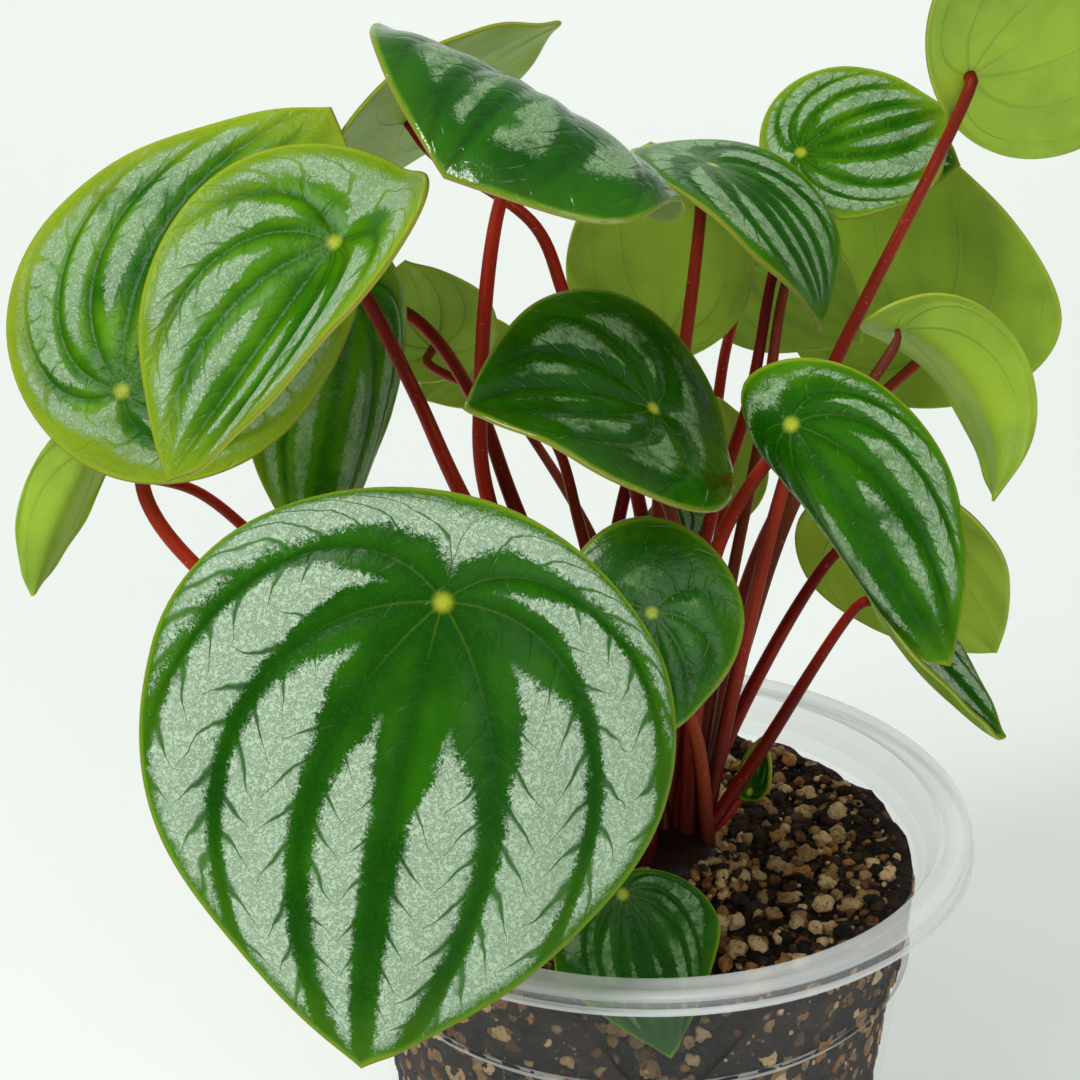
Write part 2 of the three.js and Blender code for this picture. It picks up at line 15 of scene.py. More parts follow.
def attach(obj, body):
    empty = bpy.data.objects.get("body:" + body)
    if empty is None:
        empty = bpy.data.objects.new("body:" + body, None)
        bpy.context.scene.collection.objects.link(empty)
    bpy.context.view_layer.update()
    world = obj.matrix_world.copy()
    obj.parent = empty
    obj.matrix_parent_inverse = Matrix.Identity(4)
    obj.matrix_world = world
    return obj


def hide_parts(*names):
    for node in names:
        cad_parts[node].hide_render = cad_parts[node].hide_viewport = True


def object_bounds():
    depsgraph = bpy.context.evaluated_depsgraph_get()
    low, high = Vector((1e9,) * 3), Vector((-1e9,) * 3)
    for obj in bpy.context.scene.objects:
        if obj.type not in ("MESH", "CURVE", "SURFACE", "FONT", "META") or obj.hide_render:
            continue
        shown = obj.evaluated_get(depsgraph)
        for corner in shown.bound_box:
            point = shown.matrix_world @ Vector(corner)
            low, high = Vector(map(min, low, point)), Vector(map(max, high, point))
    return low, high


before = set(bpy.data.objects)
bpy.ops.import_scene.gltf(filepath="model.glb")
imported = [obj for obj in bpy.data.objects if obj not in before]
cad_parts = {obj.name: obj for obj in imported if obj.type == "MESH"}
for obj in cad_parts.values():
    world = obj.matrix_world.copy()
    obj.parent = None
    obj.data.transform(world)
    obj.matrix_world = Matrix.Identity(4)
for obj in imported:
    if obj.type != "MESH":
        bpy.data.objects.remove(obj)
cad_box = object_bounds()

MM = 0.001
RNG = np.random.default_rng(11)

# Sizes that the solid model has, in millimetres

RIM_TOP = 106.0
MOUTH_RADIUS = 59.2
RIM_RADIUS = 66.2
SKIRT = 4.4  # height of the rim's hanging edge
NECK = 6.2  # the wall flares above this depth below the rim's top
WALL = 1.2
BODY_TOP_RADIUS = 57.0
LEDGE = 78.0
LEDGE_DEPTH = 1.2
BASE_RADIUS = 47.0
FLOOR = 1.6
SOIL_TOP = 97.0
DIP = (4.0, -53.0, 20.0, 15.0)  # hollow in the soil: x, y, depth, width
CROWN = (6.0, -11.0, 10.4, 86.0, 105.4)  # x, y, radius, bottom, top
ROOT_RADII = (7.6, 4.2)  # the stalks start on two rings in the crown
ROOT_HEIGHTS = (99.5, 101.0, 102.5)  # and at three heights
BLADE = 1.0  # thickness at the navel
MARGIN = 0.8  # thickness at the margin
CREASE = 0.05  # half width of a fold, as a share of the leaf's length
WIDEST = 0.56  # share of the margin, from the tip, at which a blade is widest

# The camera: lens in pixels of the picture, place in millimetres, degrees down

FOCAL_PIXELS = 2530
PICTURE_PIXELS = 1080
SENSOR_WIDTH = 36
CAMERA_PLACE = (-19.5, -439, 355)
CAMERA_PITCH = 23.5

# Places of the main veins on each half of a blade, from the midrib (0) to the back (1)
FEW = (0.21, 0.46, 0.74)
MANY = (0.17, 0.38, 0.58, 0.80)


def leaf(name, navel, tip, face, **more):
    """One leaf: the solid model's values, then its silver, lightness, gloss and main veins."""
    usual = dict(wide=0.85, back=0.2, broad=0.42, full=(2.2, 2.2), fold=(0, 0), open=0.75,
                 curl=(-12, -12), bend=(12, 15), sway=0, neck=8, by=[], silver=0.6, tone=0.4,
                 gloss=0, ribs=(FEW, FEW))
    return dict(usual, name=name, navel=navel, tip=tip, face=face, **more)


LEAVES = [
    leaf("front_large", (-35.5, -60, 179), (-49.5, -84, 104), (0, -7, 7),
         wide=0.93, back=0.19, broad=0.4, full=(2.6, 2.0), curl=(-10, -35), bend=(12, 25),
         sway=-14, by=[(0.5, -16, 114), (-17.5, -38, 147)], silver=1.0, tone=0.3,
         ribs=((0.195, 0.435, 0.725), (0.26, 0.575, 0.80))),
    leaf("left_large", (-96.5, 0, 194), (-58.5, 25, 241), (0, -7, 7),
         wide=0.8, back=0.19, full=(2.4, 1.9), curl=(-10, -15), bend=(10, 15), sway=20,
         by=[(-17.5, -6, 113), (-63.5, -6, 144), (-83.5, 0, 157), (-94.5, 6, 170)], silver=0.58,
         tone=0.95, ribs=(MANY, MANY)),
    leaf("left_folded", (-54.5, -22, 229), (-82.5, -42, 193), (0, -7, 7),
         wide=0.76, back=0.27, full=(2.2, 1.5), fold=(0, 60), open=0.95, curl=(0, -10),
         bend=(10, 15), neck=6,
         by=[(-7.5, -10, 127), (-33.5, -13, 178), (-41.5, -14, 198), (-48.5, -15, 214)],
         silver=0.64, tone=0.85),
    leaf("top_draped", (-18.5, 5, 245), (-35.5, -30, 243), (7, -2, 18),
         wide=0.96, back=0.34, full=(2.6, 8), curl=(-8, -14), bend=(98, -8),
         by=[(-29.5, 5, 171), (-30.5, 6, 194), (-27.5, 6, 225)], silver=0.4, tone=0.1, gloss=1),
    leaf("centre", (0.5, -15, 196), (-32.5, -32, 203), (0, -8, 8),
         wide=0.84, back=0.34, full=(2.3, 2.0), fold=(0, 30), curl=(-10, -20), bend=(20, 20),
         sway=-35, by=[(5.5, -5, 170)], silver=0.36, tone=0.1, gloss=1),
    leaf("top_back", (-45.5, 48, 233), (-15.5, 53, 251), (-4, 9, 16),
         wide=1.0, back=0.36, curl=(0, 0), bend=(10, 10),
         by=[(-0.5, 14, 167), (-14.5, 27, 203), (-20.5, 33, 216)], silver=0.6, tone=0.6),
    leaf("right_bent", (12.5, 20, 231), (32.5, 8, 203), (8, -2, 6),
         back=0.28, fold=(0, 8), curl=(-12, 0), bend=(70, 20), neck=6,
         by=[(3.5, 8, 173), (7.5, 14, 195), (10.5, 19, 222)], silver=0.52, tone=0.3),
    leaf("right_striped", (31.5, 45, 227), (60.5, 50, 234), (0, -7, 7),
         wide=0.88, full=(4.5, 2.6), curl=(-10, -10), bend=(10, 10),
         by=[(12.5, 12, 158), (21.5, 26, 183), (26.5, 38, 206)], silver=0.58, tone=0.8,
         ribs=(MANY, MANY)),
    leaf("right_tall", (55.5, 0, 253), (92.5, 5, 274), (0, 9, 4),
         wide=1.06, back=0.14, broad=0.46, curl=(-10, -10), bend=(10, 10), neck=1.6,
         by=[(17.5, -3, 132), (27.5, -2, 182), (34.5, -1, 200)], silver=0.7, tone=1.0),
    leaf("back_right", (62.5, 71, 177), (56.5, 68, 226), (2, 9, 3),
         wide=0.93, broad=0.33, full=(2.2, 1.7), curl=(-10, -10), bend=(10, 10),
         neck=3, by=[(28.5, 34, 155)], silver=0.7, tone=0.62),
    leaf("curled", (49.5, 25, 198), (68.5, 15, 166), (5, 8, 5),
         wide=0.48, back=0.14, fold=(50, 20), curl=(-10, -10), bend=(100, 0), sway=-10, neck=2.5,
         by=[(20.5, 4, 141), (30.5, 12, 169)], silver=0.6, tone=0.9),
    leaf("right_front", (24.5, -25, 197), (51.5, -45, 160), (1, -9, 3),
         wide=0.63, fold=(-62, -5), curl=(-62, -12), bend=(20, 20), neck=14,
         by=[(13.5, -4, 163), (22.5, -3, 181)], silver=0.55, tone=0.4),
    leaf("low_back", (46.5, 25, 156), (73.5, 25, 128), (3, 8, 3),
         wide=0.8, back=0.25, curl=(-10, -10), bend=(10, 10), neck=2.5,
         by=[(18.5, 8, 119), (39.5, 20, 153)], silver=0.6, tone=0.8),
    leaf("low_folded", (43.5, -5, 154), (68.5, -15, 130), (6, -2, 7),
         wide=0.68, back=0.12, fold=(35, 20), curl=(0, 0), bend=(-40, 10), neck=3,
         by=[(22.5, -5, 120)], silver=0.7, tone=0.3),
    leaf("centre_small", (0.5, -28, 162), (4.5, -35, 142), (0, -7, 7),
         back=0.45, broad=0.5, curl=(-15, -15), bend=(15, 15), by=[(10.5, -10, 127)],
         silver=0.24, tone=0.3, gloss=0.4),
    leaf("in_pot", (-4.5, -42, 112), (4.5, -50, 82), (0, -7, 7),
         wide=0.87, back=0.11, full=(1.15, 1.35), curl=(-15, -15), bend=(20, 15), neck=5, by=[],
         silver=0.4, tone=0.2, ribs=(MANY, MANY)),
    leaf("left_hanging", (-104.5, 12, 179), (-118.5, 8, 149), (-4, 7, 4),
         wide=0.42, broad=0.5, fold=(25, 60), curl=(0, 0), bend=(20, 15),
         by=[(-17.5, 4, 116), (-63.5, 8, 150), (-85.5, 14, 168)], silver=0.5, tone=0.6),
    leaf("left_behind", (-54.5, 18, 208), (-64.5, 8, 157), (1, -8, 3),
         wide=0.56, back=0.15, full=(2.2, 2.5), fold=(0, -42), curl=(-15, -25), bend=(20, 15),
         neck=17,
         by=[(-24.5, 6, 169), (-32.5, 24, 184), (-44.5, 42, 194)], silver=0.5, tone=0.8),
    leaf("back_left_upper", (-41.5, 53, 184), (-46.5, 48, 204), (0, 8, 3),
         wide=1.05, back=0.25, curl=(-15, -15), bend=(20, 15),
         by=[(-11.5, 14, 160), (-18.5, 28, 176)], silver=0.6, tone=0.6),
    leaf("back_left_lower", (-30.5, 63, 180), (-44.5, 61, 170), (0, 8, 3),
         wide=1.0, back=0.3, curl=(-15, -15), bend=(20, 15), by=[(-6.5, 18, 150)],
         silver=0.6, tone=0.6),
    leaf("back_centre", (5.5, 42, 190), (1.5, 35, 232), (0, 8, 3),
         wide=0.78, back=0.1, curl=(-15, -15), bend=(20, 15), by=[(-5.5, 14, 150)],
         silver=0.6, tone=0.6),
    leaf("back_middle", (21.5, 60, 200), (47.5, 60, 183), (0, 8, 3),
         wide=0.8, back=0.25, curl=(-15, -15), bend=(20, 15), by=[(14.5, 40, 150), (18.5, 56, 180)],
         silver=0.6, tone=0.4),
    leaf("right_behind", (42.5, 57, 227), (64.5, 55, 222), (0, -7, 7),
         wide=0.9, back=0.25, curl=(-15, -15), bend=(20, 15),
         by=[(17.5, 10, 149), (24.5, 26, 179), (29.5, 38, 205)], silver=0.6, tone=0.4),
    leaf("small_olive", (17.5, 33, 159), (15.5, 32, 181), (0, 8, 3),
         wide=0.68, curl=(-15, -15), bend=(20, 15), neck=4, by=[(13.5, 24, 137)],
         silver=0.6, tone=0.4),
    leaf("small_dark", (7.5, 20, 155), (4.5, 18, 166), (0, -7, 4),
         wide=0.9, back=0.25, curl=(-15, -15), bend=(20, 15), neck=4, by=[(8.5, 24, 143)],
         silver=0.6, tone=0.4),
    leaf("young", (22.5, 5.5, 107), (24.5, 5.5, 119), (0, -7, 3),
         wide=0.6, back=0.15, fold=(40, 40), curl=(10, 10), bend=(-10, 10), neck=2,
         by=[(17, 4, 101)], silver=0.2, tone=0.2),
]


# Leaf shape: the solid model's formulas, for whole arrays of points

def margin_point(lf, share, side):
    half = lf["wide"] / 2
    middle = lf["broad"] - lf["back"]
    towards_tip = np.clip(1 - share / WIDEST, 0, 1) ** 0.9
    full = np.where(side > 0, lf["full"][0], lf["full"][1])
    turn = np.clip((share - WIDEST) / (1 - WIDEST), 0, 1) * math.pi / 2
    front = share < WIDEST
    x = np.where(front, half * (1 - towards_tip ** full), half * np.cos(turn))
    y = np.where(front, middle + (1 - lf["back"] - middle) * towards_tip,
                 middle - lf["broad"] * np.sin(turn))
    return x * side, y


def vein_point(lf, vein, along):
    side = np.where(vein < 0, -1.0, 1.0)
    end_x, end_y = margin_point(lf, np.abs(vein) ** 1.7, side)
    reach = np.hypot(end_x, end_y) * 0.5
    angle = np.abs(vein) * math.pi
    bow = 2 * along * (1 - along)
    x = bow * side * np.sin(angle) * reach + along * along * end_x
    y = bow * np.cos(angle) * reach + along * along * end_y
    return x, y


def bent_point(lf, x, y):
    right = x >= 0
    back = lf["back"]
    front = 1 - back
    opening = lf["open"] + (1 - lf["open"]) * np.clip((y + back) / 0.5, 0, 1)
    fold = np.radians(np.where(right, lf["fold"][0], lf["fold"][1])) * opening
    curl = np.radians(np.where(right, lf["curl"][0], lf["curl"][1]))
    bend = np.radians(lf["bend"])
    distance = np.abs(x)
    across, rise, along, aside, sink = (np.zeros_like(x) for _ in range(5))
    steps = 12

    def droop(v):
        return np.where(v > 0, bend[0] * v / front, bend[1] * v / back)

    for step in range(steps):
        share = (step + 0.5) / steps
        d = distance * share
        angle = fold * np.tanh(d / CREASE) + curl * d / (lf["wide"] / 2)
        across += np.cos(angle) * distance / steps
        rise += np.sin(angle) * distance / steps
        v = y * share
        turn = np.radians(lf["sway"]) * np.clip(v / front, 0, 1) ** 2
        along += np.cos(droop(v)) * np.cos(turn) * y / steps
        aside += np.sin(turn) * y / steps
        sink += np.sin(droop(v)) * y / steps
    across = across * np.sign(x)
    end = droop(y)
    return np.stack([across + aside, along + rise * np.sin(end), rise * np.cos(end) - sink], -1)


def basis(chord, facing):
    y = chord / np.linalg.norm(chord)
    z = facing - facing.dot(y) * y
    z /= np.linalg.norm(z)
    return np.stack([np.cross(y, z), y, z], 1)


def placement(lf):
    navel = np.array(lf["navel"], float)
    to_tip = np.array(lf["tip"], float) - navel
    tip = bent_point(lf, np.array(0.0), np.array(1 - lf["back"]))
    turn = basis(to_tip, np.array(lf["face"], float)) @ basis(tip, np.array([0, 0, 1.0])).T
    return navel, turn, np.linalg.norm(to_tip) / np.linalg.norm(tip)


def blade_sample(lf, place, vein, along):
    """Points of the blade's middle surface, in millimetres, and the upward normals."""
    navel, turn, size = place
    x, y = vein_point(lf, vein, along)
    near = 0.004

    def at(dx, dy):
        return navel + bent_point(lf, x + dx, y + dy) @ turn.T * size

    normal = np.cross(at(near, 0) - at(-near, 0), at(0, near) - at(0, -near))
    normal /= np.linalg.norm(normal, axis=-1, keepdims=True)
    return at(0, 0), normal


def smooth(low, high, value):
    s = np.clip((value - low) / (high - low), 0, 1)
    return s * s * (3 - 2 * s)


# Mesh helpers

def inside_box(points):
    """Points in metres, held inside the solid model's box."""
    low, high = np.array(cad_box[0]), np.array(cad_box[1])
    return np.clip(points, low, high)


def mesh_object(name, points, faces, node=None, materials=(), attributes=None,
                face_material=None):
    mesh = bpy.data.meshes.new(name)
    mesh.from_pydata(inside_box(np.asarray(points) * MM).tolist(), [], faces)
    for key, values in (attributes or {}).items():
        values = np.asarray(values, np.float32)
        if values.ndim == 1:
            mesh.attributes.new(key, "FLOAT", "POINT").data.foreach_set("value", values)
        else:
            mesh.attributes.new(key, "FLOAT_VECTOR", "POINT").data.foreach_set(
                "vector", values.ravel())
    for material in materials:
        mesh.materials.append(material)
    if face_material is not None:
        mesh.polygons.foreach_set("material_index", face_material)
    mesh.polygons.foreach_set("use_smooth", [True] * len(mesh.polygons))
    mesh.update()
    piece = bpy.data.objects.new(name, mesh)
    bpy.context.scene.collection.objects.link(piece)
    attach(piece, "root")
    if node:
        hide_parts(node)
    return piece


def tube(start, rings, around, capped=True):
    """Faces that join rings of points, and close both ends with a flat cap."""
    faces = []
    for first in range(start, start + (rings - 1) * around, around):
        for s in range(around):
            a, b = first + s, first + (s + 1) % around
            faces.append((a, b, b + around, a + around))
    if capped:
        faces.append(tuple(start + s for s in reversed(range(around))))
        faces.append(tuple(start + (rings - 1) * around + s for s in range(around)))
    return faces


# Node helpers

class Nodes:
    """Short calls that build one procedural material."""

    def __init__(self, name):
        self.material = bpy.data.materials.new(name)
        self.material.use_nodes = True
        self.tree = self.material.node_tree
        self.shader = self.tree.nodes["Principled BSDF"]

    def add(self, kind, **settings):
        node = self.tree.nodes.new(kind)
        for key, value in settings.items():
            setattr(node, key, value)
        return node

    def put(self, socket, value):
        if isinstance(value, bpy.types.NodeSocket):
            self.tree.links.new(value, socket)
        elif isinstance(value, (tuple, list)) and len(value) == 3 and socket.type == "RGBA":
            socket.default_value = (*value, 1)
        else:
            socket.default_value = value

    def attribute(self, name, vector=False):
        node = self.add("ShaderNodeAttribute", attribute_name=name)
        return node.outputs["Vector" if vector else "Fac"]

    def math(self, operation, a, b=0.0, c=0.0):
        node = self.add("ShaderNodeMath", operation=operation)
        for socket, value in zip(node.inputs, (a, b, c)):
            self.put(socket, value)
        return node.outputs[0]

    def plus(self, a, b):
        return self.math("ADD", a, b)

    def times(self, a, b):
        return self.math("MULTIPLY", a, b)

    def flip(self, value):
        return self.math("SUBTRACT", 1.0, value)

    def linear(self, value, slope, base):
        return self.math("MULTIPLY_ADD", value, slope, base)

    def step(self, low, high, value):
        """0 below low, 1 above high, smooth between."""
        node = self.add("ShaderNodeMapRange", interpolation_type="SMOOTHSTEP")
        self.put(node.inputs["Value"], value)
        node.inputs["From Min"].default_value = low
        node.inputs["From Max"].default_value = high
        return node.outputs["Result"]

    def mix(self, share, a, b):
        node = self.add("ShaderNodeMix", data_type="RGBA", clamp_factor=True)
        self.put(node.inputs[0], share)
        self.put(node.inputs[6], a)
        self.put(node.inputs[7], b)
        return node.outputs[2]

    def noise(self, scale, detail=2.0, roughness=0.5, vector=None, distortion=0.0):
        node = self.add("ShaderNodeTexNoise")
        self.put(node.inputs["Vector"], vector or self.place)
        node.inputs["Scale"].default_value = scale
        node.inputs["Detail"].default_value = detail
        node.inputs["Roughness"].default_value = roughness
        node.inputs["Distortion"].default_value = distortion
        return node.outputs["Fac"]

    def cells(self, scale, output="Distance"):
        node = self.add("ShaderNodeTexVoronoi")
        self.put(node.inputs["Vector"], self.place)
        node.inputs["Scale"].default_value = scale
        return node.outputs[output]

    @property
    def place(self):
        if not hasattr(self, "_place"):
            self._place = self.add("ShaderNodeTexCoord").outputs["Object"]
        return self._place

    def bump(self, height, depth, strength):
        node = self.add("ShaderNodeBump")
        node.inputs["Strength"].default_value = strength
        node.inputs["Distance"].default_value = depth
        self.put(node.inputs["Height"], height)
        return node.outputs["Normal"]

    def finish(self, **values):
        for key, value in values.items():
            self.put(self.shader.inputs[key.replace("_", " ")], value)
        return self.material


def dark(colour, share):
    return tuple(c * share for c in colour)


# Materials

DEEP = (0.004, 0.050, 0.0005)
GREEN = (0.012, 0.118, 0.0005)
BRIGHT = (0.115, 0.310, 0.002)
SILVER = (0.510, 0.675, 0.470)
EDGE = (0.400, 0.470, 0.030)
EDGE_BROWN = (0.130, 0.070, 0.020)
OLIVE = (0.130, 0.240, 0.022)
LIME = (0.380, 0.570, 0.036)


def blend(a, b, share):
    return tuple(x + (y - x) * share for x, y in zip(a, b))


def upper_material(lf, size):
    """Dark bands along the veins, silver lenses between them, cut by thin side veins."""
    n = Nodes("upper_" + lf["name"])
    rib, reach, edge, off, rung = (n.attribute(k) for k in ("rib", "reach", "edge", "off", "rung"))
    big = n.noise(70, 2)
    middle = n.noise(330, 3, 0.6)
    fine = n.noise(1700, 2, 0.5, distortion=1.2)
    dust = n.noise(2600, 2, 0.6)
    veer = n.linear(middle, 0.30, -0.15)
    stipple = n.linear(dust, 0.5, -0.25)
    f = n.math("PINGPONG", rib, 0.5)
    tone, silver = lf["tone"], lf["silver"]

    # green ground: deep along the veins, brighter between them and towards the margin
    ground = n.mix(n.step(0.3, 0.7, big), blend(DEEP, GREEN, tone),
                   blend(GREEN, BRIGHT, tone * tone))
    near_vein = n.flip(n.step(0.0, 0.034 * size, n.plus(off, n.times(veer, 6))))
    ground = n.mix(n.times(near_vein, 0.8), ground, blend(DEEP, GREEN, tone * 0.5))
    edge_width = (0.09 + 0.10 * tone) * size
    near_edge = n.flip(n.step(0.0, edge_width, n.plus(edge, n.times(veer, 20))))
    ground = n.mix(n.times(near_edge, 0.10 + 0.7 * tone), ground,
                   blend(BRIGHT, EDGE, 0.8 * tone ** 3))
    ground = n.mix(n.times(n.step(0.45, 0.70, fine), 0.30), ground,
                   blend(GREEN, BRIGHT, 0.5 * tone))

    # side veins leave each vein at a slant and thin out in the silver
    slant = n.linear(rib, 0.30, -1.15)
    rows = n.times(n.plus(rung, n.times(off, slant)), 1 / (0.070 * size))
    rows = n.plus(rows, n.times(big, 1.2))
    rows = n.plus(rows, n.times(n.math("FLOOR", n.times(rib, 2)), 0.37))
    row = n.math("PINGPONG", rows, 0.5)
    outer = n.times(n.step(2.7, 3.1, rib), 0.060)
    tail = n.plus(outer, n.linear(f, -0.15, 0.078))
    width = n.math("MAXIMUM", n.linear(f, -0.86, 0.335), tail)
    width = n.times(width, n.linear(middle, 3.8, -0.95))
    lower = n.step(0.20 * size, 0.65 * size, n.plus(reach, n.times(veer, 50)))
    width = n.times(width, n.linear(lower, 0.55, 0.50))
    width = n.math("MAXIMUM", width, 0.001)
    cut = n.step(0.25, 1.25, n.math("DIVIDE", n.plus(row, n.times(veer, 0.20)), width))
    cut = n.linear(cut, 0.92, 0.08)

    # silver: a pointed lens between two veins that starts away from the navel
    band = size * (0.034 + 0.034 * (1 - silver))
    thin = n.linear(rib, -0.15 * band, 1.12 * band)
    start = n.linear(rib, -0.060 * size, 0.265 * size)
    past = n.math("SUBTRACT", n.plus(reach, n.times(veer, 12)), start)
    narrow = n.math("SUBTRACT", 0.49, n.times(n.step(-0.04 * size, 0.21 * size, past), 0.40))
    jitter = n.plus(n.times(veer, 0.60), n.times(stipple, 0.14))
    jitter = n.plus(jitter, n.linear(fine, 0.24, -0.12))
    lens = n.step(-0.04, 0.05, n.math("SUBTRACT", n.plus(f, jitter), narrow))
    aside = n.math("SUBTRACT", n.plus(off, n.times(jitter, 0.15 * size)), thin)
    sides = n.step(-0.009 * size, 0.009 * size, aside)
    begin = n.step(-0.03 * size, 0.03 * size, past)
    margin = size * (0.006 + 0.030 * tone * tone + 0.45 * max(0, 0.6 - silver))
    end = n.step(margin, margin + 0.022 * size + 0.6, n.plus(edge, n.times(jitter, 12)))
    share = n.times(n.times(n.times(begin, lens), sides), end)
    share = n.times(share, cut)
    if silver < 0.85:
        patch = 0.60 - 0.42 * silver
        share = n.times(share, n.step(patch - 0.12, patch + 0.16, n.noise(150, 3, 0.7)))
    grain = n.step(0.34, 0.56, fine)
    full = min(1.0, 0.45 + 0.70 * silver)
    share = n.times(share, n.linear(grain, 0.36 * full, 0.64 * full))
    pale = blend(BRIGHT, SILVER, min(1.0, 0.15 + 0.95 * silver))
    colour = n.mix(share, ground, n.mix(dust, dark(pale, 0.85), pale))

    line = n.flip(n.step(0.08, 0.34, off))
    line = n.times(line, n.flip(n.step(0.05 * size, 0.40 * size, reach)))
    colour = n.mix(n.times(line, 0.16), colour, blend(BRIGHT, EDGE, 0.4))
    rim = n.flip(n.step(0.20, 0.8 + 0.006 * size, n.plus(edge, n.times(veer, 2))))
    colour = n.mix(n.times(rim, 0.75), colour, blend(BRIGHT, EDGE, 0.2 + 0.5 * tone))
    colour = n.mix(n.flip(n.step(0.05, 0.30, edge)), colour,
                   blend(EDGE, EDGE_BROWN, 0.55))
    colour = n.mix(n.flip(n.step(0.4, 1.0 + 0.014 * size, reach)), colour, EDGE)

    relief = n.plus(n.times(n.times(share, grain), 0.70), n.times(cut, 0.30))
    relief = n.plus(relief, n.times(middle, 0.7))
    rough = n.linear(share, 0.25, 0.25 - 0.14 * lf["gloss"])
    rough = n.plus(rough, n.times(fine, 0.08))
    return n.finish(Base_Color=colour, Roughness=rough, Normal=n.bump(relief, 0.0004, 0.75),
                    Specular_IOR_Level=0.12 + 0.43 * lf["gloss"])


def under_material(lf, size):
    """Pale olive to lime, with the veins slightly darker."""
    n = Nodes("under_" + lf["name"])
    rib, reach, edge, off = (n.attribute(k) for k in ("rib", "reach", "edge", "off"))
    big = n.noise(45, 3, 0.6)
    fine = n.noise(1100, 4, 0.7)
    f = n.math("PINGPONG", rib, 0.5)
    pale = lf["tone"]
    colour = n.mix(n.step(0.35, 0.65, big), blend(OLIVE, LIME, 0.05 + 0.5 * pale),
                   blend(OLIVE, LIME, 0.45 + 0.6 * pale))
    colour = n.mix(n.times(n.step(0.1, 0.4, f), 0.2), colour, LIME)
    line = n.flip(n.step(0.10, 0.55, off))
    line = n.times(line, n.step(-0.2, 0.8, n.flip(n.times(reach, 1.2 / size))))
    colour = n.mix(n.times(line, 0.22), colour, dark(OLIVE, 0.75))
    colour = n.mix(n.times(fine, 0.22), colour, dark(OLIVE, 0.8))
    rim = n.flip(n.step(0.1, 0.6, edge))
    colour = n.mix(n.times(rim, 0.6), colour, EDGE)
    relief = n.plus(n.times(fine, 0.6), n.times(line, 0.8))
    return n.finish(Base_Color=colour, Roughness=n.linear(fine, 0.2, 0.36),
                    Normal=n.bump(relief, 0.0003, 0.6), Specular_IOR_Level=0.3)


def stalk_material():
    n = Nodes("stalk_skin")
    grain = n.attribute("grain", True)
    tone = n.attribute("tone")
    height = n.attribute("height")
    streak = n.noise(520, 3, 0.65, grain)
    wide_streak = n.noise(170, 2, 0.5, grain)
    fine = n.noise(2200, 2, 0.6)
    fleck = n.noise(900, 2, 0.6)
    red = n.mix(n.step(0.35, 0.65, wide_streak), (0.370, 0.014, 0.002), (0.120, 0.003, 0.001))
    brown = n.mix(n.step(0.35, 0.70, wide_streak), (0.190, 0.060, 0.018), (0.120, 0.018, 0.010))
    colour = n.mix(tone, red, brown)
    colour = n.mix(n.times(n.step(0.56, 0.74, streak), 0.40), colour, (0.480, 0.080, 0.035))
    colour = n.mix(n.times(n.step(0.66, 0.74, fleck), 0.40), colour, (0.520, 0.220, 0.110))
    # painted shade: the stalks darken to near-black towards their bases, where they crowd together
    colour = n.mix(n.times(n.flip(n.step(0.0, 0.30, height)), 0.85), colour,
                   (0.030, 0.003, 0.003))
    # painted shade: the crown is made near-black, for the dark gaps between the stalk bases
    crown_painted_shade = n.flip(n.step(-0.2, 0.0, height))
    colour = n.mix(n.times(crown_painted_shade, 0.95), colour, (0.012, 0.005, 0.004))
    relief = n.plus(streak, n.times(fine, 0.3))
    return n.finish(Base_Color=colour, Roughness=n.linear(fine, 0.18, 0.32),
                    Normal=n.bump(relief, 0.00025, 0.5), Specular_IOR_Level=0.15)


def soil_material():
    n = Nodes("soil_mix")
    clump = n.noise(190, 5, 0.7)
    crumbs = n.cells(820)
    chips = n.add("ShaderNodeSeparateColor")
    n.put(chips.inputs[0], n.cells(260, output="Color"))
    chip_edge = n.cells(260)
    colour = n.mix(n.step(0.35, 0.75, clump), (0.005, 0.003, 0.0025), (0.040, 0.020, 0.011))
    colour = n.mix(n.times(n.step(0.35, 0.05, crumbs), 0.45), colour, (0.100, 0.050, 0.024))
    pale = n.times(n.step(0.66, 0.70, chips.outputs[0]), n.step(0.46, 0.34, chip_edge))
    chip_colour = n.mix(crumbs, (0.420, 0.290, 0.150), (0.200, 0.110, 0.050))
    colour = n.mix(n.times(pale, 0.85), colour, chip_colour)
    rusty = n.times(n.step(0.80, 0.84, chips.outputs[1]), n.step(0.42, 0.30, chip_edge))
    colour = n.mix(n.times(rusty, 0.8), colour, (0.210, 0.075, 0.025))
    relief = n.plus(clump, n.times(crumbs, -0.7))
    relief = n.plus(relief, n.times(pale, 0.6))
    return n.finish(Base_Color=colour, Roughness=n.linear(clump, 0.2, 0.78),
                    Normal=n.bump(relief, 0.0012, 0.9), Specular_IOR_Level=0.25)


def grain_material(name, light, deep):
    n = Nodes(name)
    tone = n.attribute("tone")
    spot = n.noise(900, 4, 0.7)
    cloud = n.noise(260, 3, 0.7)
    mixed = n.step(0.2, 0.8, n.plus(n.times(cloud, 0.7), n.linear(tone, 0.9, -0.3)))
    colour = n.mix(mixed, deep, light)
    colour = n.mix(n.times(n.step(0.50, 0.66, spot), 0.75), colour, dark(deep, 0.22))
    return n.finish(Base_Color=colour, Roughness=n.linear(spot, 0.2, 0.72),
                    Normal=n.bump(spot, 0.0006, 0.9), Specular_IOR_Level=0.25)


def pot_material(name, alpha, grey):
    n = Nodes(name)
    haze = n.noise(35, 3, 0.6)
    scratch = n.noise(420, 2, 0.5)
    colour = n.mix(haze, dark((0.86, 0.88, 0.88), grey), dark((0.97, 0.98, 0.98), grey))
    rough = n.linear(haze, 0.10, 0.06)
    return n.finish(Base_Color=colour, Roughness=rough, Alpha=alpha,
                    Normal=n.bump(scratch, 0.0001, 0.25), Specular_IOR_Level=1.0)


